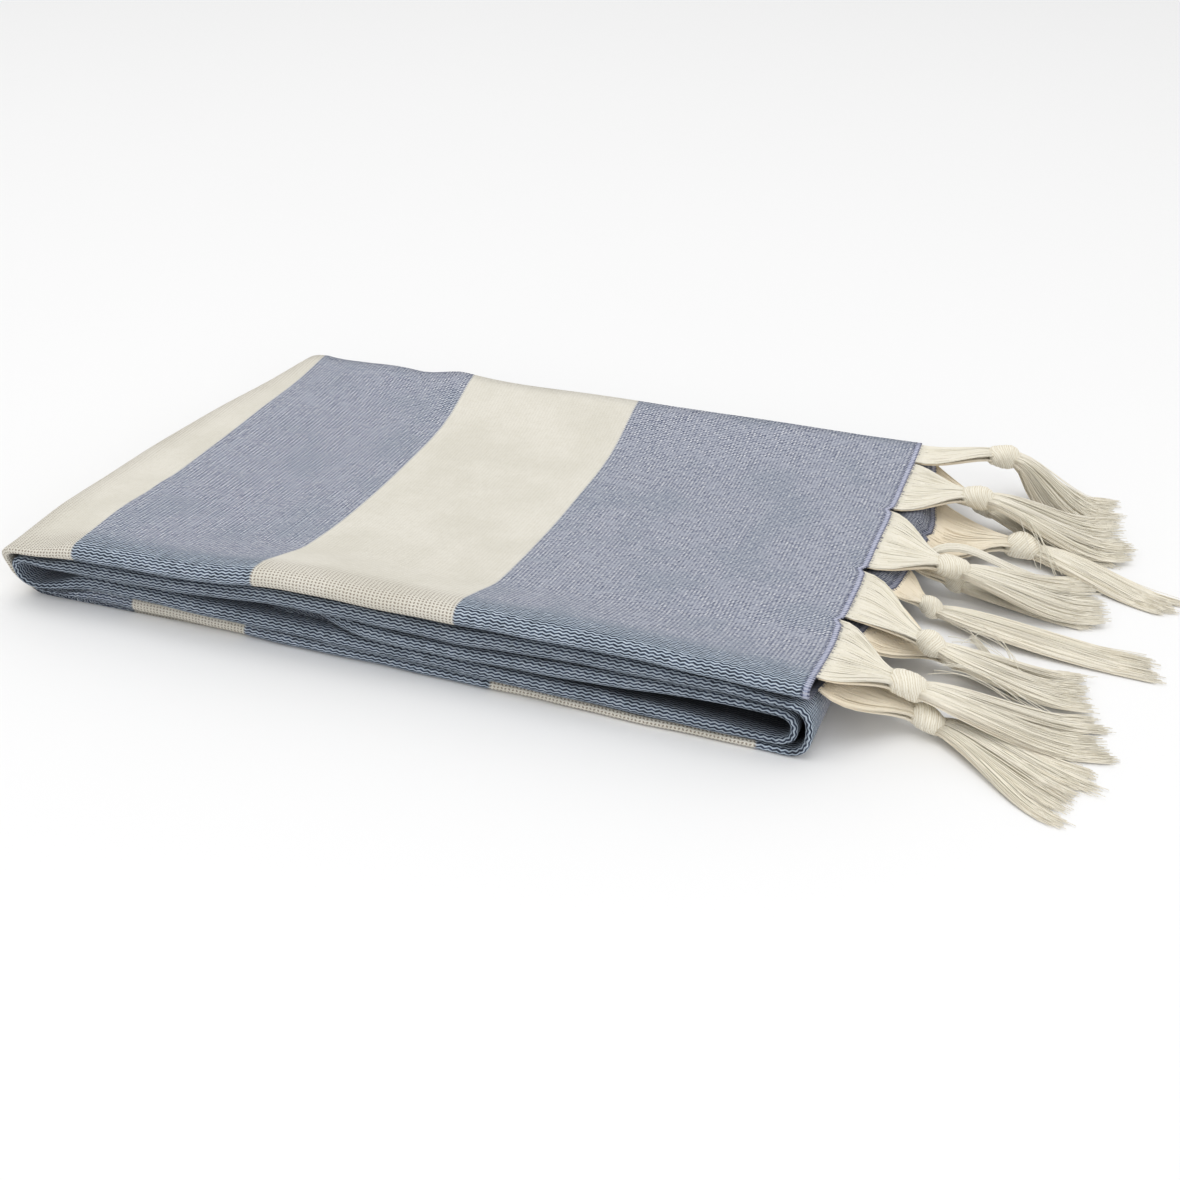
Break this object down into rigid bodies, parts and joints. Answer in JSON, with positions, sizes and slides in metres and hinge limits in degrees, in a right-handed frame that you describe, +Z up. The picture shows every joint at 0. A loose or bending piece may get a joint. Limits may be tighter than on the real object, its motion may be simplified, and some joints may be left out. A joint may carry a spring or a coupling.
{
  "type": "folded hammam towel",
  "caption": "Flat-woven cotton hammam towel with broad stripes, folded to a flat pack, its knotted fringe spread on the surface it lies on.",
  "frame": {"origin": "middle of the pack's flat underside, on the surface it lies on", "axes": "+Z up; +X towards the fringed end, along the pack; +Y from the folded front edge to the open back edge"},
  "size_m": [0.528, 0.2963, 0.0423],
  "materials": {
    "cloth": "plain-woven cotton, matt, blue and cream stripes across its length",
    "yarn": "undyed cotton yarn, matt"
  },
  "bodies": {
    "root": {"towel_cloth": "cloth", "fringe_upper": "yarn", "fringe_lower": "yarn"}
  },
  "joints": []
}
